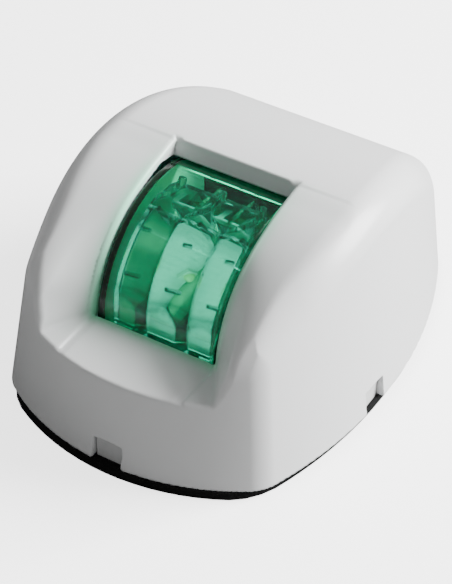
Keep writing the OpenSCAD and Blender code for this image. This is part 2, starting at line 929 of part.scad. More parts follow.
module block_screw() {
    color("silver")
        translate([0, block_mid_y, floor_z + block_h - block_sink])
            screw_down(block_head_d, block_head_h, block_screw_d, block_screw_l);
}

cover();
base_plate();
base_gasket();
cable_grommet();
lamp_tray();
lens();
lens_seal();
lamp_screws();
barrel_optic();
led_board();
led_packages();
led_domes();
thermal_pad();
heat_sink();
board_screws();
sink_screws();
driver_board();
driver_chip();
inductor();
capacitor();
protection_diode();
board_links();
potting_plug();
red_lead();
black_lead();
terminal_block();
terminal_sleeves();
terminal_screws();
block_screw();
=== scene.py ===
"""Looks for a small boat's LED sidelight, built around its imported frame.

Every length is in metres, in the frame's own axes: X across, Y to the back, Z up, with the window facing -Y.
"""

import math

import bpy
import numpy as np
from bpy.props import FloatProperty, FloatVectorProperty, IntProperty, PointerProperty, StringProperty
from mathutils import Matrix, Vector


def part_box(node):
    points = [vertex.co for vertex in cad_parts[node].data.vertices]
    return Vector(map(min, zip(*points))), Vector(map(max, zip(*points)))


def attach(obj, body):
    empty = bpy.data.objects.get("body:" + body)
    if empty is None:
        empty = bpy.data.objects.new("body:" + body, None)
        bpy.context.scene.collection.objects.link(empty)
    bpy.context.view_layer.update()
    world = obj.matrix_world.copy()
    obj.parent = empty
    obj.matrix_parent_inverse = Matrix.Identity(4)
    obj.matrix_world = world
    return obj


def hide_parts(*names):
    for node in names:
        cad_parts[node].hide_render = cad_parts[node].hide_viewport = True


bl_info = {
    "name": "Boat Sidelight",
    "version": (1, 0, 0),
    "blender": (4, 5, 0),
    "location": "View3D > Sidebar > Sidelight",
    "description": "Builds the finished pieces of a small LED sidelight around its frame",
    "category": "Object",
}

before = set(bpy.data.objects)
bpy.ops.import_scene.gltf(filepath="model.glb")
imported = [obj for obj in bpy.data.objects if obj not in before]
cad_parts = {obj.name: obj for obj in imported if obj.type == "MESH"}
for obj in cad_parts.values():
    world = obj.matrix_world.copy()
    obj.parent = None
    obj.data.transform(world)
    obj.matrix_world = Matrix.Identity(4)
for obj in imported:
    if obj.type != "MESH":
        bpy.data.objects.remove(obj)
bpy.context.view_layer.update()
MM = 0.001


# ---- Settings ----


def length(name, description, mm):
    """A size in millimetres, kept as a length in metres."""
    return FloatProperty(name=name, description=description, default=mm * MM, unit="LENGTH", precision=5)


def colour(name, description, code):
    """A colour given as an sRGB hex code."""
    return FloatVectorProperty(name=name, description=description, default=linear(code), subtype="COLOR", size=3)


def linear(code):
    """Linear red, green and blue of an sRGB hex code."""
    parts = [int(code[i : i + 2], 16) / 255 for i in (1, 3, 5)]
    return tuple(c / 12.92 if c <= 0.04045 else ((c + 0.055) / 1.055) ** 2.4 for c in parts)


class SidelightForm(bpy.types.PropertyGroup):
    """Sizes of the moulded cover and of the lens under it."""

    wall: length("Wall", "Thickness of the cover's walls", 2)
    foot_d: length("Foot depth", "Depth of the cover at its bottom edge", 103.4)
    front_set: length("Front set", "Front wall's foot, short of half the depth", 1.1)
    axis_ahead: length("Lens axis", "Distance of the lens axis in front of the centre", 8.6)
    side_r: length("Side radius", "Plan radius of the bulging sides", 106)
    front_r: length("Front radius", "Plan radius of the front wall", 51.45)
    back_r: length("Back radius", "Plan radius of the back wall", 67.45)
    draft: FloatProperty(name="Draft", description="Lean of the walls", default=math.radians(7.6), subtype="ANGLE")
    arch_r: length("Arch radius", "Radius of the barrel top", 58.2)
    crest_back: length("Crest", "Distance of the crest behind the centre", -0.2)
    waist_front: length("Waist", "Distance of the widest point in front of the centre", 0.9)
    corner_r: length("Corner rounding", "Rounding of the upright corners", 1.4)
    shoulder_r: length("Shoulder rounding", "Rounding between the sides and the top", 6.5)
    crease_r: length("Crease rounding", "Rounding between the front wall and the top", 1.2)
    window_w: length("Window width", "Clear width between the jambs at the lens", 28.6)
    lip_w: length("Lip width", "Width at the outer edge of the lip", 31)
    flare_w: length("Flare width", "Width between the outer edges of the splayed jambs", 44.8)
    sill_w: length("Sill width", "Width between the splayed jambs at the sill", 41.6)
    sill_h: length("Sill height", "Height of the sill above the deck", 22.5)
    seam_h: length("Seam height", "Height at which the jambs stop widening", 30.4)
    lip_h: length("Lip height", "Height of the lip above the lens", 1.1)
    header_angle: FloatProperty(
        name="Header angle", description="Header's angle about the lens axis",
        default=math.radians(106), subtype="ANGLE",
    )
    near_angle: FloatProperty(
        name="Lip fade angle", description="Angle where the lip starts to meet the skin", default=math.radians(68),
        subtype="ANGLE"
    )
    corner_dip: length("Corner dip", "Depth of the lip under the skin at the header", 0.1)
    notch_w: length("Notch width", "Width of each pry notch", 6.8)
    notch_h: length("Notch height", "Height of each pry notch", 5.5)
    notch_front: length("Notch place", "Distance of the side notches in front of the centre", 5.7)
    lens_r: length("Lens radius", "Outer radius of the lens about its level axis", 23.5)
    lens_t: length("Lens thickness", "Thickness of the lens", 2)
    lens_end_t: length("Lens end thickness", "Thickness of the lens's ends beside the optic", 0.8)
    lens_gap: length("Lens gap", "Gap between the lens and the cover", 0.3)
    rib_t: length("Rib thickness", "Thickness of the rib across the inside of the lens", 1.4)
    rib_h: length("Rib height", "Height of the rib below the crest of the lens", 5)
    barrel_depth: length("Barrel depth", "Depth of the grooves between the optic's barrels", 2.9)
    disc_gap: length("Disc gap", "Gap between a barrel and the rim of each flat disc", 0.12)
    screw_d: length("Lamp screw", "Diameter of the lamp screws", 3)
    screw_head_d: length("Lamp screw head", "Diameter of the lamp screws' heads", 5)
    screw_head_h: length("Lamp screw head height", "Height of the lamp screws' heads", 1.8)
    small_screw_d: length("Small screw", "Diameter of the board and heat sink screws", 2)
    small_head_d: length("Small screw head", "Diameter of their heads", 3.4)
    small_head_h: length("Small screw head height", "Height of their heads", 1.2)
    clamp_d: length("Clamp screw", "Diameter of the terminals' clamp screws", 2.4)
    clamp_head_d: length("Clamp screw head", "Diameter of their heads", 3.4)
    clamp_head_h: length("Clamp screw head height", "Height of their heads", 1.8)
    block_screw_d: length("Block screw", "Diameter of the terminal block's screw", 2.8)
    block_head_h: length("Block screw head height", "Height of its head", 1.6)


class SidelightMesh(bpy.types.PropertyGroup):
    """How finely the pieces are meshed."""

    cover_step: length("Cover step", "Spacing of the cover's first mesh", 0.5)
    cover_faces: IntProperty(
        name="Cover triangles", description="Most triangles that the cover keeps", default=190000
    )
    lens_step: length("Lens step", "Spacing of the lens's first mesh", 0.42)
    lens_faces: IntProperty(name="Lens triangles", description="Most triangles that the lens keeps", default=90000)
    optic_step: length("Optic step", "Spacing of the optic's first mesh", 0.22)
    optic_faces: IntProperty(
        name="Optic triangles", description="Most triangles that the optic keeps", default=120000
    )


class SidelightColours(bpy.types.PropertyGroup):
    """Colours of the finishes."""

    cover: colour("Cover", "White moulded ABS", "#ECEDED")
    # Colour of the green light from the lens, painted onto the cover next to the window
    painted_lens_light: colour("Spill", "Plastic next to the green lens", "#A5F0CB")
    lens: colour("Lens", "Clear green polycarbonate", "#44DABA")
    lens_edge: colour("Lens edge", "Green polycarbonate seen through its edge", "#0A8F62")
    frost: colour("Frosted lens", "Frosted green polycarbonate", "#6FE0B8")
    optic: colour("Optic", "Clear acrylic", "#D6F5E8")
    # Colour of the shade painted into the optic's recesses, grooves and barrel feet
    optic_painted_shade: colour("Optic recess", "Clear acrylic seen along the walls of a recess", "#06301F")


# ---- Fields: distances in metres, negative inside ----


def blend_max(a, b, r):
    """Rounded intersection of two fields."""
    return np.minimum(np.maximum(a, b), -r) + np.hypot(np.maximum(a + r, 0), np.maximum(b + r, 0))


def blend_min(a, b, r):
    """Rounded union of two fields."""
    return -blend_max(-a, -b, r)


def smooth(t):
    """Soft step from 0 to 1."""
    u = np.clip(t, 0, 1)
    return u * u * (3 - 2 * u)


def block(p, low, high, r=0.0):
    """Box between two corners, with its edges rounded."""
    middle, half = (np.array(low) + np.array(high)) / 2, (np.array(high) - np.array(low)) / 2
    q = [np.abs(p[i] - middle[i]) - half[i] + r for i in range(3)]
    outside = np.sqrt(sum(np.maximum(v, 0) ** 2 for v in q))
    return outside + np.minimum(np.maximum(np.maximum(q[0], q[1]), q[2]), 0) - r


# ---- Meshing ----


def net(field, low, high, step):
    """Closed mesh of a field's surface: one point per crossed cell, then moved onto the surface."""
    counts = [int(math.ceil((high[i] - low[i]) / step)) + 1 for i in range(3)]
    axes = [low[i] + step * np.arange(counts[i]) for i in range(3)]
    grid = np.meshgrid(*axes, indexing="ij")
    values = field(grid)
    inside = values < 0
    shape = tuple(n - 1 for n in counts)
    total, hits = np.zeros(shape + (3,)), np.zeros(shape)
    for axis in range(3):
        near, far = [slice(None)] * 3, [slice(None)] * 3
        near[axis], far[axis] = slice(0, -1), slice(1, None)
        near, far = tuple(near), tuple(far)
        cut = inside[near] != inside[far]
        a, b = values[near], values[far]
        share = np.where(cut, a / np.where(a == b, 1, a - b), 0)
        others = [i for i in range(3) if i != axis]
        for u in (0, 1):
            for v in (0, 1):
                part = [slice(None)] * 3
                part[others[0]] = slice(u, u + shape[others[0]])
                part[others[1]] = slice(v, v + shape[others[1]])
                part = tuple(part)
                found = cut[part]
                hits += found
                offset = [0.0, 0.0, 0.0]
                offset[others[0]], offset[others[1]] = u, v
                for i in range(3):
                    total[..., i] += found * (share[part] if i == axis else offset[i])
    cells = np.argwhere(hits > 0)
    number = np.full(shape, -1, np.int64)
    number[tuple(cells.T)] = np.arange(len(cells))
    picked = tuple(cells.T)
    points = np.array(low) + step * (cells + total[picked] / hits[picked][:, None])
    quads = []
    for axis in range(3):
        near, far = [slice(None)] * 3, [slice(None)] * 3
        near[axis], far[axis] = slice(0, -1), slice(1, None)
        cut = inside[tuple(near)] != inside[tuple(far)]
        edge = np.argwhere(cut)
        others = [(axis + 1) % 3, (axis + 2) % 3]
        edge = edge[(edge[:, others[0]] > 0) & (edge[:, others[1]] > 0)]
        edge = edge[(edge[:, others[0]] < shape[others[0]]) & (edge[:, others[1]] < shape[others[1]])]
        ring = []
        for u, v in ((1, 1), (0, 1), (0, 0), (1, 0)):
            cell = edge.copy()
            cell[:, others[0]] -= u
            cell[:, others[1]] -= v
            ring.append(number[tuple(cell.T)])
        ring = np.stack(ring, 1)
        outward = inside[tuple(edge.T)]
        quads.append(np.where(outward[:, None], ring, ring[:, ::-1]))
    for _ in range(3):
        value, slope = field_slope(field, points)
        size = np.maximum((slope**2).sum(1), 0.05)
        move = np.clip(value / size, -step / 2, step / 2)
        points = points - move[:, None] * slope
    return points, np.vstack(quads)


def field_slope(field, points, reach=0.02 * MM):
    """A field's values and slopes at points."""
    parts = [points[:, i] for i in range(3)]
    slope = np.empty_like(points)
    for i in range(3):
        up, down = list(parts), list(parts)
        up[i], down[i] = parts[i] + reach, parts[i] - reach
        slope[:, i] = (field(up) - field(down)) / (2 * reach)
    return field(parts), slope


def mesh_object(name, points, faces, material=None):
    """Smooth mesh object at the origin."""
    mesh = bpy.data.meshes.new(name)
    mesh.from_pydata(points.tolist() if hasattr(points, "tolist") else points, [],
                     faces.tolist() if hasattr(faces, "tolist") else faces)
    mesh.update()
    mesh.shade_smooth()
    made = bpy.data.objects.new(name, mesh)
    bpy.context.scene.collection.objects.link(made)
    if material:
        mesh.materials.append(material)
    return made


def carve(name, field, low, high, step, most=0, material=None):
    """Object made from a field in a box: netted, thinned to a number of triangles and shaded by the field's slope."""
    pad = 1.3 * step
    points, faces = net(field, [v - pad for v in low], [v + pad for v in high], step)
    made = mesh_object(name, points, faces, material)
    triangles = 2 * len(faces)
    if most and triangles > most:
        thin = made.modifiers.new("Thin", "DECIMATE")
        thin.ratio = most / triangles
        freeze(made)
    co = vertex_places(made.data)
    value, slope = field_slope(field, co)
    size = np.maximum((slope**2).sum(1), 0.05)
    co -= np.clip(value / size, -0.1 * MM, 0.1 * MM)[:, None] * slope
    made.data.vertices.foreach_set("co", co.ravel())
    made.data.update()
    value, slope = field_slope(field, co)
    slope /= np.maximum(np.linalg.norm(slope, axis=1), 1e-6)[:, None]
    made.data.normals_split_custom_set_from_vertices(slope.tolist())
    return made


def vertex_places(mesh):
    """A mesh's vertices as rows."""
    co = np.empty(len(mesh.vertices) * 3)
    mesh.vertices.foreach_get("co", co)
    return co.reshape(-1, 3)


def freeze(made):
    """Turns an object's modifiers into plain mesh."""
    bpy.context.view_layer.update()
    graph = bpy.context.evaluated_depsgraph_get()
    old = made.data
    made.data = bpy.data.meshes.new_from_object(made.evaluated_get(graph))
    made.modifiers.clear()
    bpy.data.meshes.remove(old)
    return made


def finish_piece(piece, body, slot, *nodes):
    """Puts a finished piece on its body, in place of CAD nodes."""
    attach(piece, body)
    if nodes:
        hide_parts(*nodes)
    return piece


# ---- Materials ----


def new_material(name):
    """Empty material and its shader."""
    material = bpy.data.materials.new(name)
    material.use_nodes = True
    return material, material.node_tree.nodes["Principled BSDF"]


def add(material, kind, links=(), **settings):
    """Adds a node, sets its inputs and properties by name, and links its inputs."""
    made = material.node_tree.nodes.new(kind)
    for key, value in settings.items():
        if key in made.inputs:
            made.inputs[key].default_value = value
        else:
            setattr(made, key, value)
    for key, source in dict(links).items():
        material.node_tree.links.new(source, made.inputs[key])
    return made


def join(material, source, node, socket):
    """Links an output to a node's input."""
    material.node_tree.links.new(source, node.inputs[socket])


def two_tones(material, share, first, second):
    """Colour between two linear colours, by a share from 0 to 1."""
    mixer = add(material, "ShaderNodeMix", data_type="RGBA")
    for socket, value in ((6, first), (7, second)):
        mixer.inputs[socket].default_value = (*value, 1)
    join(material, share, mixer, 0)
    return mixer.outputs[2]


def speckle(material, size, detail=4.0, stretch=(1, 1, 1)):
    """Noise on Object coordinates, with spots of a real size."""
    place = add(material, "ShaderNodeTexCoord").outputs["Object"]
    mapped = add(material, "ShaderNodeMapping", {"Vector": place}, Scale=stretch).outputs["Vector"]
    return add(material, "ShaderNodeTexNoise", {"Vector": mapped}, Scale=1 / size, Detail=detail).outputs["Fac"]


def spread(material, source, low, high):
    """Maps a 0 to 1 value to a range."""
    return add(material, "ShaderNodeMapRange", {"Value": source}, **{"To Min": low, "To Max": high}).outputs["Result"]


def roughen(material, shader, size, low, high):
    """Varies a shader's roughness in patches of a real size."""
    join(material, spread(material, speckle(material, size), low, high), shader, "Roughness")


def grain(material, shader, size, height, strength=1.0, stretch=(1, 1, 1)):
    """Gives a shader fine relief of a real size and height."""
    bump = add(material, "ShaderNodeBump", {"Height": speckle(material, size, 3, stretch)}, Strength=strength,
               Distance=height)
    join(material, bump.outputs["Normal"], shader, "Normal")


# ---- Cover ----


# Snap beads inside the cover: height over its foot, drop to the middle, radius, length and places along a side
BEAD_H, BEAD_DROP, BEAD_R, BEAD_L = 5.0 * MM, 0.6 * MM, 0.45 * MM, 9 * MM
BEAD_Y = (-24 * MM, 20 * MM)


class Body:
    """The cover's form as fields, worked out from the settings and the frame."""

    def __init__(self, form):
        low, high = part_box("cover")
        self.form = form
        self.half_w = high.x
        self.low_z, self.top_z = low.z, high.z
        self.half_d = form.foot_d / 2
        lens_low, lens_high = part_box("lens")
        seat = (lens_high.z - form.lens_r)
        self.axis = (0.0, -form.axis_ahead, seat)
        self.table = self.funnel_table()

    def skin(self, p):
        """Outside of the moulding, without the window."""
        f = self.form
        x, y, z = p
        cos, tan = math.cos(f.draft), math.tan(f.draft)
        fall = (z - self.low_z) * tan
        side = (np.hypot(np.abs(x) + f.side_r - self.half_w, y + f.waist_front) - f.side_r + fall) * cos
        front = np.hypot(x, np.minimum(0, y + self.half_d - f.front_set - f.front_r)) - f.front_r
        back = np.hypot(x, np.maximum(0, y - self.half_d + f.back_r)) - f.back_r
        end = (np.maximum(front, back) + fall) * cos
        edge_r = f.crease_r + (f.shoulder_r - f.crease_r) * smooth((side - end) / (12 * MM) + 0.5)
        arch = np.hypot(y - f.crest_back, z - self.top_z + f.arch_r) - f.arch_r
        return blend_max(blend_max(side, end, f.corner_r), arch, edge_r)

    def skin_radius(self, x, turn):
        """Distance from the lens axis to the skin, at a place across and an angle from straight ahead."""
        low, high = np.zeros_like(turn), np.full_like(turn, 90 * MM)
        for _ in range(24):
            middle = (low + high) / 2
            p = (x, self.axis[1] - middle * np.cos(turn), self.axis[2] + middle * np.sin(turn))
            inside = self.skin(p) < 0
            low, high = np.where(inside, middle, low), np.where(inside, high, middle)
        return low

    def funnel_table(self):
        """For a row of angles: the lip's radius, the jamb's outer edge and the skin's radius there."""
        f = self.form
        turn = np.radians(np.linspace(0, 125, 126))
        lip_x = f.lip_w / 2
        near = self.skin_radius(lip_x, turn)
        dip = self.skin_radius(lip_x, np.array([f.near_angle]))[0] - f.lens_r - f.lip_h
        fade = np.clip((f.header_angle - turn) / (f.header_angle - f.near_angle), 0, 1)
        past = near - f.corner_dip - max(0, dip - f.corner_dip) * fade
        lip = np.where(turn < f.near_angle, f.lens_r + f.lip_h, past)
        guess = self.skin_radius(f.flare_w / 2, turn)
        z = self.axis[2] + guess * np.sin(turn)
        edge_x = f.sill_w / 2 + (f.flare_w - f.sill_w) / 2 * smooth((z - f.sill_h) / (f.seam_h - f.sill_h))
        skin = self.skin_radius(edge_x, turn)
        return turn, lip, edge_x, skin

    def about_axis(self, p):
        """Radius and angle from straight ahead, about the lens axis."""
        y, z = p[1] - self.axis[1], p[2] - self.axis[2]
        return np.hypot(y, z), np.arctan2(z, -y)

    def header(self, p):
        """Flat header wall's plane, negative in front of it."""
        a = self.form.header_angle
        return (p[1] - self.axis[1]) * math.sin(a) + (p[2] - self.axis[2]) * math.cos(a)

    def funnel(self, p):
        """Space of the funnel window: over the jambs, in front of the header and above the sill."""
        f = self.form
        turn, lip, edge_x, skin = self.table
        r, angle = self.about_axis(p)
        angle = np.where(angle < -math.pi / 2, angle + 2 * math.pi, angle)
        angle = np.clip(angle, turn[0], turn[-1])
        lip_here, skin_here = np.interp(angle, turn, lip), np.interp(angle, turn, skin)
        slope = (skin_here - lip_here) / (np.interp(angle, turn, edge_x) - f.lip_w / 2)
        out = np.maximum(np.abs(p[0]) - f.lip_w / 2, 0)
        jamb = (lip_here + slope * out - r) / np.sqrt(1 + slope**2)
        return blend_max(blend_max(jamb, self.header(p), 0.7 * MM), f.sill_h - p[2], 0.9 * MM)

    def window(self, p):
        """Hole between the jambs, with room for the lens."""
        f = self.form
        r, _ = self.about_axis(p)
        front = self.axis[1] - f.lens_r - f.lens_gap
        shaft = np.maximum(front - p[1], np.maximum(p[1] - self.axis[1], p[2] - self.axis[2]))
        lens = np.minimum(r - f.lens_r - f.lens_gap, shaft)
        mouth = np.maximum(self.header(p), f.sill_h - p[2])
        return np.maximum(np.abs(p[0]) - f.window_w / 2, np.minimum(mouth, lens))

    def notches(self, p):
        """Pry notches in the foot of all four walls."""
        f = self.form
        deep = 3 * f.wall
        top = self.low_z + f.notch_h
        found = []
        for across, along, middle, edge in (
            (p[0], p[1], 0, f.front_set - self.half_d), (p[0], p[1], 0, self.half_d),
            (p[1], p[0], -f.notch_front, -self.half_w), (p[1], p[0], -f.notch_front, self.half_w),
        ):
            arch = 0.3 * MM * (1 - ((across - middle) / (f.notch_w / 2)) ** 2)
            hole = np.maximum(np.abs(across - middle) - f.notch_w / 2, p[2] - top - arch)
            found.append(np.maximum(hole, np.abs(along - edge) - deep))
        return np.minimum.reduce(found)

    def catches(self, p):
        """Snap beads along the foot of the sides, inside."""
        f = self.form
        z = self.low_z + BEAD_H
        side = (np.hypot(np.abs(p[0]) + f.side_r - self.half_w, p[1] + f.waist_front) - f.side_r
                + (z - self.low_z) * math.tan(f.draft)) * math.cos(f.draft)
        bead = np.hypot(side + f.wall, p[2] - z + BEAD_DROP) - BEAD_R
        rows = [np.abs(p[1] - y) - BEAD_L / 2 for y in BEAD_Y]
        return np.maximum(bead, np.minimum(*rows))

    def solid(self, p):
        """The whole cover."""
        f = self.form
        skin, funnel, window = self.skin(p), self.funnel(p), self.window(p)
        x = np.abs(p[0])
        header = self.header(p)
        near_header = smooth(1 + header / (6 * MM))
        near_sill = smooth(1 - (p[2] - f.sill_h) / (3 * MM))
        soft = (1.6 - 1.1 * np.maximum(near_header, 0.7 * near_sill)) * MM
        outer = blend_max(skin, -funnel, soft)
        lip_r = (0.35 + 0.85 * smooth((x - 12.5 * MM) / (1.5 * MM))) * MM
        outer = blend_max(outer, -window, lip_r)
        inner = blend_max(skin + f.wall, f.wall - funnel, 0.5 * MM)
        shell = np.maximum(outer, -inner)
        low_r = f.lens_r + f.lens_gap
        bar = np.maximum(np.maximum(header - f.wall, low_r - self.about_axis(p)[0]), x - f.lip_w / 2 - f.wall)
        shell = np.minimum(shell, blend_max(outer, bar, 0.3 * MM))
        shell = blend_max(shell, -self.notches(p), 0.25 * MM)
        shell = np.minimum(shell, self.catches(p))
        return blend_max(shell, self.low_z - p[2], 0.3 * MM)


def cover_material(colours):
    """Gloss ABS, injection moulded: an even white with a faint orange peel. Green light from the lens is painted into
    it near the lens.
    """
    material, shader = new_material("Gloss moulded ABS")
    tone = two_tones(material, speckle(material, 30 * MM, 2), colours.cover, tuple(0.985 * c for c in colours.cover))
    # Painted light: green light from the lens is mixed into the white near the window
    painted_lens_light = add(material, "ShaderNodeAttribute", attribute_name="painted_lens_light").outputs["Fac"]
    lens_light_mix = add(material, "ShaderNodeMix", data_type="RGBA")
    join(material, painted_lens_light, lens_light_mix, 0)
    join(material, tone, lens_light_mix, 6)
    lens_light_mix.inputs[7].default_value = (*colours.painted_lens_light, 1)
    join(material, lens_light_mix.outputs[2], shader, "Base Color")
    roughen(material, shader, 8 * MM, 0.26, 0.34)
    grain(material, shader, 1.6 * MM, 0.006 * MM, 0.5)
    shader.inputs["IOR"].default_value = 1.52
    return material


class SIDELIGHT_OT_cover(bpy.types.Operator):
    """Moulds the cover with its funnel window, rounded lip and pry notches"""

    bl_idname = "sidelight.cover"
    bl_label = "Cover"

    def execute(self, context):
        scene = context.scene
        body = Body(scene.sidelight_form)
        cover = carve(
            "moulded_cover", body.solid, *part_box("cover"), scene.sidelight_mesh.cover_step,
            scene.sidelight_mesh.cover_faces, cover_material(scene.sidelight_colours),
        )
        paint_lens_light(cover, body)
        finish_piece(cover, "cover", "cover_white", "cover")
        return {"FINISHED"}


def paint_lens_light(cover, body):
    """Marks how much painted green light from the lens each point of the cover gets."""
    f = body.form
    co = vertex_places(cover.data)
    p = [co[:, i] for i in range(3)]
    away = np.hypot(np.maximum(np.abs(p[0]) - f.window_w / 2, 0), np.maximum(body.about_axis(p)[0] - f.lens_r, 0))
    funnel = np.abs(body.funnel(p))
    shown = smooth(1 - (funnel - 0.4 * MM) / (1.5 * MM))
    # Painted light: a green glow, strongest at the lip, fading over a few millimetres
    painted_lens_light = shown * (0.95 * np.exp(-((away / (2.0 * MM)) ** 2)) + 0.22 * np.exp(-away / (5 * MM)))
    layer = cover.data.attributes.new("painted_lens_light", "FLOAT", "POINT")
    layer.data.foreach_set("value", np.clip(painted_lens_light, 0, 1).astype(np.float32))


# ---- Lamp ----


class Lamp:
    """Places of the lamp's parts, worked out from the settings and the frame."""

    def __init__(self, form):
        self.form = form
        self.low, self.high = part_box("lens")
        optic_low, optic_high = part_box("barrel_optic")
        led_low, led_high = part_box("led_packages")
        screws_low, screws_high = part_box("lamp_screws")
        self.half_w = form.window_w / 2 - form.lens_gap
        self.rim = self.high.x - self.half_w
        self.front, self.back = self.low.y + self.rim, self.high.y - self.rim
        self.axis_y, self.axis_z = self.front + form.lens_r, self.high.z - form.lens_r
        self.flange_top = screws_high.z - form.screw_head_h
        head = form.screw_head_d / 2
        self.screws = [(x, y) for x in (screws_low.x + head, screws_high.x - head)
                       for y in (screws_low.y + head, screws_high.y - head)]
        self.half_bank = optic_high.x
        self.crest = self.axis_y - optic_low.y
        self.pitch = ((led_high.x - led_low.x) - (led_high.z - led_low.z)) / 2
        self.optic_foot = optic_low.z
        self.rib_y, self.rib_z = self.axis_y + 7.8 * MM, self.high.z - form.rib_h


def lens_material(colours):
    """Clear green polycarbonate from a polished tool: almost no haze, and dark where it is seen along its walls."""
    material, shader = new_material("Clear green polycarbonate")
    place = add(material, "ShaderNodeTexCoord").outputs["Object"]
    across = add(material, "ShaderNodeSeparateXYZ", {"Vector": place}).outputs["X"]
    size = add(material, "ShaderNodeMath", {0: across}, operation="ABSOLUTE").outputs["Value"]
    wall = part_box("barrel_optic")[1].x + 0.6 * MM
    edge = add(material, "ShaderNodeMapRange", {"Value": size},
               **{"From Min": wall + 1.0 * MM, "From Max": wall + 1.3 * MM}).outputs["Result"]
    tone = two_tones(material, edge, colours.lens, colours.lens_edge)
    join(material, tone, shader, "Base Color")
    shader.inputs["Transmission Weight"].default_value = 1
    shader.inputs["Roughness"].default_value = 0.0
    shader.inputs["IOR"].default_value = 1.5
    return material


def frosted_material(colours):
    """The same polycarbonate from a spark-eroded tool face: matt and milky, so that it takes up light."""
    material, shader = new_material("Frosted green polycarbonate")
    tone = two_tones(material, speckle(material, 5 * MM), colours.frost, tuple(0.8 * c for c in colours.frost))
    join(material, tone, shader, "Base Color")
    grain(material, shader, 0.3 * MM, 0.02 * MM, 0.6)
    shader.inputs["Roughness"].default_value = 0.5
    shader.inputs["IOR"].default_value = 1.58
    return material


def lens_field(lamp):
    """Cap with a round top and front on a flange, hollow under a thin wall."""
    form, low, high = lamp.form, lamp.low, lamp.high

    def cap(p, inset, end_inset, r):
        above = np.hypot(p[1] - lamp.axis_y, p[2] - lamp.axis_z)
        drum = np.where(p[2] > lamp.axis_z, above, np.abs(p[1] - lamp.axis_y)) - form.lens_r
        shape = blend_max(drum + inset, np.abs(p[0]) - lamp.half_w + end_inset, r)
        return blend_max(shape, p[1] - lamp.back + inset, r)

    def field(p):
        outer = np.maximum(cap(p, 0, 0, 0.7 * MM), low.z - p[2])
        flange = block(p, low, (high.x, high.y, lamp.flange_top), 0.35 * MM)
        corner = block([p[0], p[1], 0 * p[2]], (low.x, low.y, -1), (high.x, high.y, 1), 3 * MM)
        whole = blend_min(outer, blend_max(flange, corner, 0.3 * MM), 0.5 * MM)
        taper = smooth((p[2] - lamp.flange_top) / (10 * MM))
        end_t = form.lens_t + (form.lens_end_t - form.lens_t) * taper
        hollow = cap(p, form.lens_t, end_t, 0.5 * MM)
        rib_high = (lamp.half_w, lamp.rib_y + form.rib_t, high.z)
        rib = block(p, (-lamp.half_w, lamp.rib_y, lamp.rib_z), rib_high, 0.3 * MM)
        whole = blend_max(whole, -blend_max(hollow, -rib, 0.3 * MM), 0.2 * MM)
        for x, y in lamp.screws:
            hole = np.hypot(p[0] - x, p[1] - y) - form.screw_d / 2 - 0.2 * MM
            whole = blend_max(whole, -hole, 0.2 * MM)
        return whole

    return field


def frost(lens, lamp, material):
    """Gives the inner faces of the lens's ends and its rib the frosted finish."""
    mesh = lens.data
    mesh.materials.append(material)
    count = len(mesh.polygons)
    middle, normal = np.empty(3 * count), np.empty(3 * count)
    mesh.polygons.foreach_get("center", middle)
    mesh.polygons.foreach_get("normal", normal)
    middle, normal = middle.reshape(-1, 3), normal.reshape(-1, 3)
    ends = (np.abs(normal[:, 0]) > 0.8) & (np.abs(middle[:, 0]) < lamp.half_w - 0.3 * MM)
    inside = np.hypot(middle[:, 1] - lamp.axis_y, middle[:, 2] - lamp.axis_z) < lamp.form.lens_r - lamp.form.lens_t
    rib = inside & (np.abs(middle[:, 1] - lamp.rib_y) < 3 * MM) & (middle[:, 2] > lamp.rib_z - 0.1 * MM)
    mesh.polygons.foreach_set("material_index", (ends | rib).astype(np.int32))


class SIDELIGHT_OT_lens(bpy.types.Operator):
    """Moulds the clear green lens with its flange"""

    bl_idname = "sidelight.lens"
    bl_label = "Lens"

    def execute(self, context):
        scene = context.scene
        lamp = Lamp(scene.sidelight_form)
        lens = carve("green_lens", lens_field(lamp), lamp.low, lamp.high, scene.sidelight_mesh.lens_step,
                     scene.sidelight_mesh.lens_faces, lens_material(scene.sidelight_colours))
        frost(lens, lamp, frosted_material(scene.sidelight_colours))
        finish_piece(lens, "base", "lens_green", "lens")
        return {"FINISHED"}


def optic_material(colours):
    """Clear acrylic, moulded in one shot: glassy skin, a faint haze and flow lines inside, darkened by painted shade
    in its recesses, along its grooves and at the foot of the barrels.
    """
    material, shader = new_material("Clear moulded acrylic")
    haze = speckle(material, 5 * MM, 4, (1, 0.35, 0.35))
    tone = two_tones(material, haze, colours.optic, tuple(0.55 * c for c in colours.optic))
    # Painted shade: the shade attribute mixes a dark green into the acrylic
    shade = add(material, "ShaderNodeAttribute", attribute_name="shade").outputs["Fac"]
    deep = add(material, "ShaderNodeMix", data_type="RGBA")
    join(material, shade, deep, 0)
    join(material, tone, deep, 6)
    deep.inputs[7].default_value = (*colours.optic_painted_shade, 1)
    join(material, deep.outputs[2], shader, "Base Color")
    shader.inputs["Transmission Weight"].default_value = 0.9
    shader.inputs["Roughness"].default_value = 0.02
    shader.inputs["IOR"].default_value = 1.49
    return material


RECESSES = ((68, 2.2, 0.5, 2.0, 1.3, -24), (30, 1.2, 0.3, 1.6, 0.8, 4), (56, 0.6, 0.3, 0.9, 0.7, 10))


def recess_field(lamp, p):
    """Short recesses across each barrel: angle up, shift, half height, half width, depth and slant of each."""
    x, y, z = p
    r = np.hypot(y - lamp.axis_y, z - lamp.axis_z)
    turn = np.arctan2(z - lamp.axis_z, lamp.axis_y - y)
    across = x - lamp.pitch * np.round(x / lamp.pitch)
    found = []
    for angle, shift, high, wide, deep, slant in RECESSES:
        cos, sin = math.cos(math.radians(slant)), math.sin(math.radians(slant))
        up, over = (turn - math.radians(angle)) * lamp.crest, across - shift * MM
        u, v = over * cos + up * sin, up * cos - over * sin
        low = (-wide * MM, -high * MM, lamp.crest - deep * MM)
        found.append(block([u, v, r], low, (wide * MM, high * MM, lamp.crest + 2 * MM), 0.15 * MM))
    return np.minimum.reduce(found)


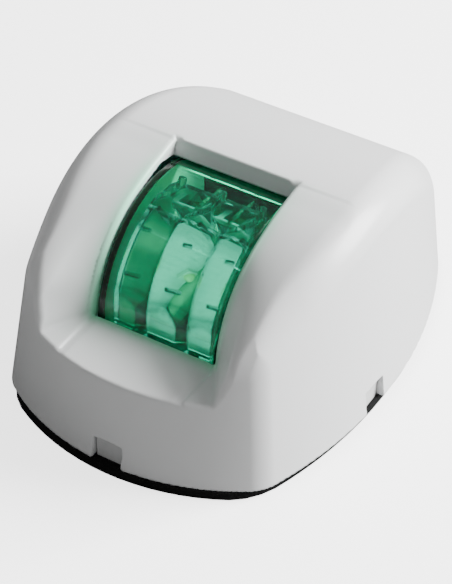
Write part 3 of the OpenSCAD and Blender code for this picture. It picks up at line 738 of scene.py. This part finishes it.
def shade(optic, lamp):
    """Marks, as painted shade, the optic's recesses, its grooves and a bowed band at the foot of each barrel."""
    co = vertex_places(optic.data)
    p = [co[:, i] for i in range(3)]
    r = np.hypot(p[1] - lamp.axis_y, p[2] - lamp.axis_z)
    turn = np.degrees(np.arctan2(p[2] - lamp.axis_z, lamp.axis_y - p[1]))
    # Painted shade in the recesses, along the grooves and in a bowed band at each barrel's foot
    recess = 0.75 * smooth(1 - recess_field(lamp, p) / (0.4 * MM))
    across = np.abs(p[0] - lamp.pitch * np.round(p[0] / lamp.pitch))
    groove = 0.55 * np.exp(-(((lamp.pitch / 2 - across) / (0.35 * MM)) ** 2)) * (r > lamp.crest - 4 * MM)
    bow = turn - 17 + 9 * (2 * across / lamp.pitch) ** 2
    foot = 0.6 * np.exp(-((bow / 2.2) ** 2))
    layer = optic.data.attributes.new("shade", "FLOAT", "POINT")
    layer.data.foreach_set("value", np.clip(np.maximum.reduce([recess, groove, foot]), 0, 1).astype(np.float32))


def optic_field(lamp):
    """Three barrels about the lens axis, cut by an upright face at the foot and by flat discs at the top."""
    form, pitch = lamp.form, lamp.pitch
    barrel_r = ((pitch / 2) ** 2 + form.barrel_depth**2) / (2 * form.barrel_depth)
    inner, crown_inner = lamp.crest - 5.4 * MM, lamp.crest - 3.2 * MM
    foot, top, crown = math.radians(-12), math.radians(74), math.radians(99)
    disc_z = lamp.axis_z + lamp.crest - 1.5 * MM
    disc_r = pitch / 2 - form.disc_gap

    def field(p):
        x, y, z = p
        r = np.hypot(y - lamp.axis_y, z - lamp.axis_z)
        turn = np.arctan2(z - lamp.axis_z, lamp.axis_y - y)
        turn = np.where(turn < -math.pi / 2, turn + 2 * math.pi, turn)
        across = x - pitch * np.round(x / pitch)
        bulge = np.sqrt(np.maximum(barrel_r**2 - across**2, 1e-9))
        barrel = (r - lamp.crest + barrel_r - bulge) * bulge / barrel_r
        barrel = blend_max(barrel, lamp.axis_y - lamp.crest + 1.1 * MM - y, 0.15 * MM)
        between = x - pitch * (np.floor(x / pitch) + 0.5)
        from_disc = np.hypot(between, y - lamp.axis_y)
        barrel = blend_max(barrel, pitch / 2 - from_disc + 0 * x, 0.3 * MM)
        disc = blend_max(from_disc - disc_r, z - disc_z, 0.3 * MM)
        skin = np.minimum(barrel, disc)
        skin = blend_max(skin, -recess_field(lamp, p), 0.15 * MM)
        inside = np.where(turn > top, crown_inner, inner)
        wall = np.maximum(skin, inside - r)
        ends = blend_max(np.abs(x) - lamp.half_bank, (turn - crown) * r, 2.5 * MM)
        wall = blend_max(wall, np.maximum(ends, (foot - turn) * r), 0.3 * MM)
        leg = block(
            [np.abs(x), y, z], (lamp.half_bank - 3.6 * MM, lamp.axis_y - lamp.crest + 1.4 * MM, lamp.optic_foot),
            (lamp.half_bank - 0.2 * MM, lamp.axis_y - lamp.crest + 4.4 * MM, lamp.axis_z), 0.3 * MM,
        )
        return blend_min(wall, leg, 0.3 * MM)

    return field


class SIDELIGHT_OT_optic(bpy.types.Operator):
    """Moulds the clear optic with its three barrels and flat discs"""

    bl_idname = "sidelight.optic"
    bl_label = "Optic"

    def execute(self, context):
        scene = context.scene
        lamp = Lamp(scene.sidelight_form)
        low = Vector((-lamp.half_bank, lamp.axis_y - lamp.crest, lamp.optic_foot))
        high = Vector((lamp.half_bank, lamp.axis_y + 5 * MM, lamp.axis_z + lamp.crest))
        optic = carve("barrel_bank", optic_field(lamp), low, high, scene.sidelight_mesh.optic_step,
                      scene.sidelight_mesh.optic_faces, optic_material(scene.sidelight_colours))
        shade(optic, lamp)
        finish_piece(optic, "base", "optic_clear", "barrel_optic")
        return {"FINISHED"}


# ---- Finishes of the frame's own nodes ----


def plastic(name, code, patch, rough, relief, depth, ior=1.5, metal=0.0, streak=(1, 1, 1)):
    """Finish with a little colour variation, uneven gloss and fine relief, all of real sizes."""
    material, shader = new_material(name)
    base = linear(code)
    tone = two_tones(material, speckle(material, patch, 3, streak), base, tuple(0.86 * c for c in base))
    join(material, tone, shader, "Base Color")
    roughen(material, shader, patch / 2, *rough)
    grain(material, shader, relief, depth, 0.8, streak)
    shader.inputs["IOR"].default_value = ior
    shader.inputs["Metallic"].default_value = metal
    return material


def foam():
    """Closed-cell foam rubber, die cut: its skin is matt and its cut edge shows small open cells."""
    material, shader = new_material("Closed-cell foam rubber")
    place = add(material, "ShaderNodeTexCoord").outputs["Object"]
    cells = add(material, "ShaderNodeTexVoronoi", {"Vector": place}, Scale=1 / (0.55 * MM)).outputs["Distance"]
    join(material, two_tones(material, cells, linear("#050505"), linear("#121212")), shader, "Base Color")
    bump = add(material, "ShaderNodeBump", {"Height": cells}, Strength=0.7, Distance=0.15 * MM)
    join(material, bump.outputs["Normal"], shader, "Normal")
    shader.inputs["Roughness"].default_value = 0.85
    shader.inputs["Specular IOR Level"].default_value = 0.2
    return material


def board(name, mask, copper, track):
    """Glass-epoxy board under solder mask: gloss lacquer with tracks standing a few hundredths proud."""
    material, shader = new_material(name)
    place = add(material, "ShaderNodeTexCoord").outputs["Object"]
    turned = add(material, "ShaderNodeMapping", {"Vector": place}, Rotation=(math.pi / 2, 0, 0)).outputs["Vector"]
    lines = add(material, "ShaderNodeTexBrick", {"Vector": turned}, Scale=1 / track, offset=0.37, squash=1.6,
                squash_frequency=3, **{"Mortar Size": 0.06, "Mortar Smooth": 0.3, "Brick Width": 1.7,
                                       "Row Height": 0.55}).outputs["Fac"]
    join(material, two_tones(material, lines, linear(mask), linear(copper)), shader, "Base Color")
    bump = add(material, "ShaderNodeBump", {"Height": lines}, Strength=0.6, Distance=0.05 * MM)
    join(material, bump.outputs["Normal"], shader, "Normal")
    shader.inputs["Roughness"].default_value = 0.25
    return material


def silicone_dome():
    """Clear silicone over yellow phosphor: a soft, glassy amber bead."""
    material, shader = new_material("Silicone over phosphor")
    haze = speckle(material, 0.4 * MM)
    join(material, two_tones(material, haze, linear("#EFE9B4"), linear("#E2D88C")), shader, "Base Color")
    shader.inputs["Roughness"].default_value = 0.12
    shader.inputs["Coat Weight"].default_value = 0.6
    shader.inputs["IOR"].default_value = 1.41
    return material


def node_finishes():
    """Finish of each of the frame's nodes that is shown as it is."""
    satin = plastic("Satin moulded ABS", "#D9DADA", 20 * MM, (0.42, 0.52), 0.5 * MM, 0.012 * MM, 1.52)
    silicone = plastic("Grey silicone rubber", "#2C2D2F", 6 * MM, (0.5, 0.62), 0.4 * MM, 0.01 * MM, 1.41)
    extruded = plastic(
        "Extruded aluminium", "#B9BBBD", 8 * MM, (0.28, 0.42), 0.35 * MM, 0.01 * MM, 1.5, 1.0, (1, 1, 0.05)
    )
    brass = plastic("Turned brass", "#C9A45C", 3 * MM, (0.22, 0.35), 0.25 * MM, 0.006 * MM, 1.5, 1.0, (1, 0.1, 1))
    tinned = plastic("Tinned copper wire", "#C9C6BC", 3 * MM, (0.2, 0.34), 0.3 * MM, 0.006 * MM, 1.5, 1.0)
    epoxy = plastic("Moulded epoxy", "#17181A", 2 * MM, (0.5, 0.65), 0.12 * MM, 0.008 * MM, 1.55)
    return {
        "base_plate": satin,
        "base_gasket": foam(),
        "cable_grommet": silicone,
        "lens_seal": silicone,
        "lamp_tray": plastic("White moulded ABS", "#E9ECEA", 12 * MM, (0.3, 0.4), 0.5 * MM, 0.01 * MM, 1.52),
        "led_board": board("White solder mask", "#E0E2DD", "#D2D5D0", 3.4 * MM),
        "led_packages": plastic("White ceramic", "#E6E2D4", 1.5 * MM, (0.45, 0.6), 0.1 * MM, 0.004 * MM, 1.6),
        "led_domes": silicone_dome(),
        "thermal_pad": plastic("Silicone thermal pad", "#7FA0B8", 3 * MM, (0.6, 0.75), 0.5 * MM, 0.02 * MM, 1.43),
        "heat_sink": extruded,
        "driver_board": board("Green solder mask", "#0E5A2E", "#2C8A4C", 2.6 * MM),
        "driver_chip": epoxy,
        "protection_diode": epoxy,
        "inductor": plastic("Pressed ferrite", "#46474A", 2 * MM, (0.6, 0.8), 0.2 * MM, 0.02 * MM, 1.6),
        "capacitor": plastic("Drawn aluminium can", "#C2C4C6", 3 * MM, (0.22, 0.3), 0.3 * MM, 0.004 * MM, 1.5, 1.0),
        "board_links": tinned,
        "potting_plug": plastic("Cast potting resin", "#26282A", 4 * MM, (0.15, 0.3), 1.2 * MM, 0.03 * MM, 1.55),
        "red_lead": plastic("Red PVC insulation", "#B3141A", 4 * MM, (0.38, 0.5), 0.4 * MM, 0.01 * MM, 1.53),
        "black_lead": plastic("Black PVC insulation", "#161616", 4 * MM, (0.38, 0.5), 0.4 * MM, 0.01 * MM, 1.53),
        "terminal_block": plastic("Natural nylon", "#E2DCC6", 5 * MM, (0.4, 0.55), 0.4 * MM, 0.01 * MM, 1.53),
        "terminal_sleeves": brass,
    }


class SIDELIGHT_OT_finishes(bpy.types.Operator):
    """Gives each of the frame's shown nodes its finish"""

    bl_idname = "sidelight.finishes"
    bl_label = "Node finishes"

    def execute(self, context):
        for node, material in node_finishes().items():
            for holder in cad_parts[node].material_slots:
                holder.material = material
        return {"FINISHED"}


# ---- Screws ----


def steel():
    """Turned stainless steel: bright, with fine rings from the lathe."""
    return plastic("Turned stainless steel", "#BFC0C1", 2 * MM, (0.2, 0.32), 0.2 * MM, 0.006 * MM, 1.5, 1.0)


def screw_field(head_d, head_h, shank_d, shank_l, slot):
    """Screw with a domed head and a recess: its head rests at the origin, and its thread hangs below."""

    def field(p):
        x, y, z = p
        r = np.hypot(x, y)
        dome = np.hypot(r, z - head_h + head_d) - head_d
        head = blend_max(blend_max(r - head_d / 2, dome, 0.3 * MM), -z, 0.1 * MM)
        pitch = 0.35 * shank_d
        ridge = 0.5 + 0.5 * np.cos(2 * math.pi * z / pitch + np.arctan2(y, x))
        thread = r - shank_d / 2 + 0.12 * shank_d * ridge * (z < -0.4 * MM)
        shank = np.maximum(thread, np.maximum(z - head_h / 2, -z - shank_l))
        whole = np.minimum(head, shank)
        arm, blade = 0.3 * head_d, 0.11 * head_d
        cross = [np.maximum(np.abs(x) - (0.7 * head_d if slot else arm), np.abs(y) - blade)]
        if not slot:
            cross.append(np.maximum(np.abs(y) - arm, np.abs(x) - blade))
        recess = np.maximum(np.minimum.reduce(cross), 0.45 * head_h - z)
        return blend_max(whole, -recess, 0.08 * MM)

    return field


def scatter_tree():
    """Node group that sets a copy of a screw on each point, turned by the point's own angles."""
    tree = bpy.data.node_groups.new("Set screws", "GeometryNodeTree")
    sockets = {}
    for name, kind in (
        ("Points", "NodeSocketGeometry"), ("Screw", "NodeSocketObject"),
        ("Turn", "NodeSocketRotation"), ("Finish", "NodeSocketMaterial"),
    ):
        sockets[name] = tree.interface.new_socket(name, in_out="INPUT", socket_type=kind).identifier
    tree.interface.new_socket("Screws", in_out="OUTPUT", socket_type="NodeSocketGeometry")
    start, end = tree.nodes.new("NodeGroupInput"), tree.nodes.new("NodeGroupOutput")
    info = tree.nodes.new("GeometryNodeObjectInfo")
    copies = tree.nodes.new("GeometryNodeInstanceOnPoints")
    real = tree.nodes.new("GeometryNodeRealizeInstances")
    finish = tree.nodes.new("GeometryNodeSetMaterial")
    for source, target in (
        (start.outputs["Points"], copies.inputs["Points"]),
        (start.outputs["Screw"], info.inputs["Object"]),
        (info.outputs["Geometry"], copies.inputs["Instance"]),
        (start.outputs["Turn"], copies.inputs["Rotation"]),
        (copies.outputs["Instances"], real.inputs["Geometry"]),
        (real.outputs["Geometry"], finish.inputs["Geometry"]),
        (start.outputs["Finish"], finish.inputs["Material"]),
        (finish.outputs["Geometry"], end.inputs["Screws"]),
    ):
        tree.links.new(source, target)
    return tree, sockets


def set_screws(node, name, size, places, turn, material, slot=False):
    """Screws of one kind, in place of a CAD node."""
    head_d, head_h, shank_d, shank_l = size
    reach = head_d / 2
    screw = carve(name + "_one", screw_field(*size, slot), Vector((-reach, -reach, -shank_l)),
                  Vector((reach, reach, head_h)), 0.16 * MM, 5000, material)
    tree, sockets = scatter_tree()
    group = mesh_object(name, places, [], material)
    maker = group.modifiers.new("Screws", "NODES")
    maker.node_group = tree
    maker[sockets["Screw"]] = screw
    maker[sockets["Turn"]] = turn
    maker[sockets["Finish"]] = material
    freeze(group)
    bpy.data.objects.remove(screw)
    bpy.data.node_groups.remove(tree)
    return finish_piece(group, "base", "steel", node)


class SIDELIGHT_OT_screws(bpy.types.Operator):
    """Sets every screw of the lamp and of the terminals"""

    bl_idname = "sidelight.screws"
    bl_label = "Screws"

    def execute(self, context):
        form = context.scene.sidelight_form
        lamp = Lamp(form)
        metal = steel()
        upright, forward = (0, 0, 0), (math.pi / 2, 0, 0)
        low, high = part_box("lamp_screws")
        size = (form.screw_head_d, form.screw_head_h, form.screw_d, lamp.flange_top - low.z)
        set_screws("lamp_screws", "cross_head_screws", size, [(x, y, lamp.flange_top) for x, y in lamp.screws],
                   upright, metal)
        small_d, small_h = form.small_head_d, form.small_head_h
        low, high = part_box("board_screws")
        z = (low.z + high.z) / 2
        size = (small_d, small_h, form.small_screw_d, high.y - low.y - small_h)
        set_screws("board_screws", "board_fixings", size,
                   [(x, low.y + small_h, z) for x in (low.x + small_d / 2, high.x - small_d / 2)], forward, metal)
        low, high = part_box("sink_screws")
        size = (small_d, small_h, form.small_screw_d, high.z - low.z - small_h)
        y = (low.y + high.y) / 2
        set_screws("sink_screws", "sink_fixings", size,
                   [(x, y, high.z - small_h) for x in (low.x + small_d / 2, high.x - small_d / 2)], upright, metal)
        low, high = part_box("terminal_screws")
        head_d, head_h = form.clamp_head_d, form.clamp_head_h
        size = (head_d, head_h, form.clamp_d, high.z - low.z - head_h)
        set_screws("terminal_screws", "clamp_screws", size,
                   [(x, y, high.z - head_h) for x in (low.x + head_d / 2, high.x - head_d / 2)
                    for y in (low.y + head_d / 2, high.y - head_d / 2)], upright, metal, slot=True)
        low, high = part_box("block_screw")
        head_d, head_h = high.x - low.x, form.block_head_h
        size = (head_d, head_h, form.block_screw_d, high.z - low.z - head_h)
        place = ((low.x + high.x) / 2, (low.y + high.y) / 2, high.z - head_h)
        set_screws("block_screw", "block_fixing", size, [place], upright, metal)
        return {"FINISHED"}


# ---- Stage ----

EYE = (0.16743485, -0.29856389, 0.29981491)
EYE_RIGHT = (0.85907738, 0.51123532, 0.02498999)
EYE_UP = (-0.345734, 0.543583, 0.76484347)
EYE_BACK = (0.37743086, -0.66569961, 0.64373129)


def soft_light(name, place, aim, size, power):
    """Square soft light at a place, aimed at a point."""
    data = bpy.data.lights.new(name, "AREA")
    data.shape, data.size, data.size_y = "RECTANGLE", size[0], size[1]
    data.energy = power
    lamp = bpy.data.objects.new(name, data)
    turn = (Vector(place) - Vector(aim)).to_track_quat("Z", "Y").to_matrix().to_4x4()
    lamp.matrix_world = Matrix.Translation(Vector(place)) @ turn
    bpy.context.scene.collection.objects.link(lamp)
    return lamp


def paper():
    """Matt backdrop paper: pale to the eye, and grey to the object, so that little light comes up from it."""
    material, shader = new_material("Matt backdrop paper")
    seen = add(material, "ShaderNodeLightPath").outputs["Is Camera Ray"]
    join(material, two_tones(material, seen, (0.3, 0.3, 0.3), (0.95, 0.95, 0.95)), shader, "Base Color")
    join(material, spread(material, seen, 0, 2.6), shader, "Emission Strength")
    shader.inputs["Emission Color"].default_value = (1, 1, 1, 1)
    shader.inputs["Roughness"].default_value = 0.9
    return material


class SIDELIGHT_OT_stage(bpy.types.Operator):
    """Sets the pale floor, the soft studio light and the camera"""

    bl_idname = "sidelight.stage"
    bl_label = "Stage"

    def execute(self, context):
        scene = context.scene
        material = paper()
        half = 3.0
        floor = mesh_object("floor", [(-half, -half, 0), (half, -half, 0), (half, half, 0), (-half, half, 0)],
                            [(0, 1, 2, 3)], material)
        world = bpy.data.worlds.new("Studio")
        world.use_nodes = True
        world.node_tree.nodes["Background"].inputs["Color"].default_value = (1, 1, 1, 1)
        world.node_tree.nodes["Background"].inputs["Strength"].default_value = 0.285
        scene.world = world
        aim = (0, 0, 0.03)
        soft_light("key", (0.52, 0.42, 0.4), aim, (0.45, 0.45), 21)
        soft_light("top", (0.42, 0.35, 0.6), aim, (0.4, 0.4), 2.5)
        lamp = Lamp(scene.sidelight_form)
        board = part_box("led_board")[0]
        middle = (0, board.y - 5 * MM, lamp.axis_z + 2 * MM)
        soft_light("board fill", middle, (0, 0, middle[2]), (22 * MM, 24 * MM), 0.0065)
        over = (0, lamp.axis_y + 4 * MM, lamp.axis_z + 17 * MM)
        soft_light("sink fill", over, (0, over[1] + 14 * MM, over[2] - 12 * MM), (22 * MM, 8 * MM), 0.006)
        data = bpy.data.cameras.new("Camera")
        data.sensor_width = 36
        data.lens = 127.42
        data.clip_start = 0.01
        camera = bpy.data.objects.new("Camera", data)
        turn = Matrix((EYE_RIGHT, EYE_UP, EYE_BACK)).transposed().to_4x4()
        camera.matrix_world = Matrix.Translation(Vector(EYE)) @ turn
        scene.collection.objects.link(camera)
        scene.camera = camera
        return {"FINISHED"}


# ---- Panel and registration ----

STEPS = (
    SIDELIGHT_OT_stage, SIDELIGHT_OT_cover, SIDELIGHT_OT_lens, SIDELIGHT_OT_optic, SIDELIGHT_OT_finishes,
    SIDELIGHT_OT_screws,
)


class SIDELIGHT_PT_panel(bpy.types.Panel):
    """Lists the settings and the steps"""

    bl_label = "Sidelight"
    bl_space_type = "VIEW_3D"
    bl_region_type = "UI"
    bl_category = "Sidelight"

    def draw(self, context):
        for group in (context.scene.sidelight_form, context.scene.sidelight_mesh, context.scene.sidelight_colours):
            box = self.layout.box()
            for key in group.bl_rna.properties.keys():
                if key not in ("rna_type", "name"):
                    box.prop(group, key)
        for step in STEPS:
            self.layout.operator(step.bl_idname)


GROUPS = {
    "sidelight_form": SidelightForm,
    "sidelight_mesh": SidelightMesh,
    "sidelight_colours": SidelightColours,
}
CLASSES = (*GROUPS.values(), *STEPS, SIDELIGHT_PT_panel)


def register():
    for item in CLASSES:
        bpy.utils.register_class(item)
    for key, group in GROUPS.items():
        setattr(bpy.types.Scene, key, PointerProperty(type=group))


def unregister():
    for key in GROUPS:
        delattr(bpy.types.Scene, key)
    for item in reversed(CLASSES):
        bpy.utils.unregister_class(item)


def main():
    register()
    for step in STEPS:
        group, name = step.bl_idname.split(".")
        getattr(getattr(bpy.ops, group), name)()


if __name__ == "__main__":
    main()
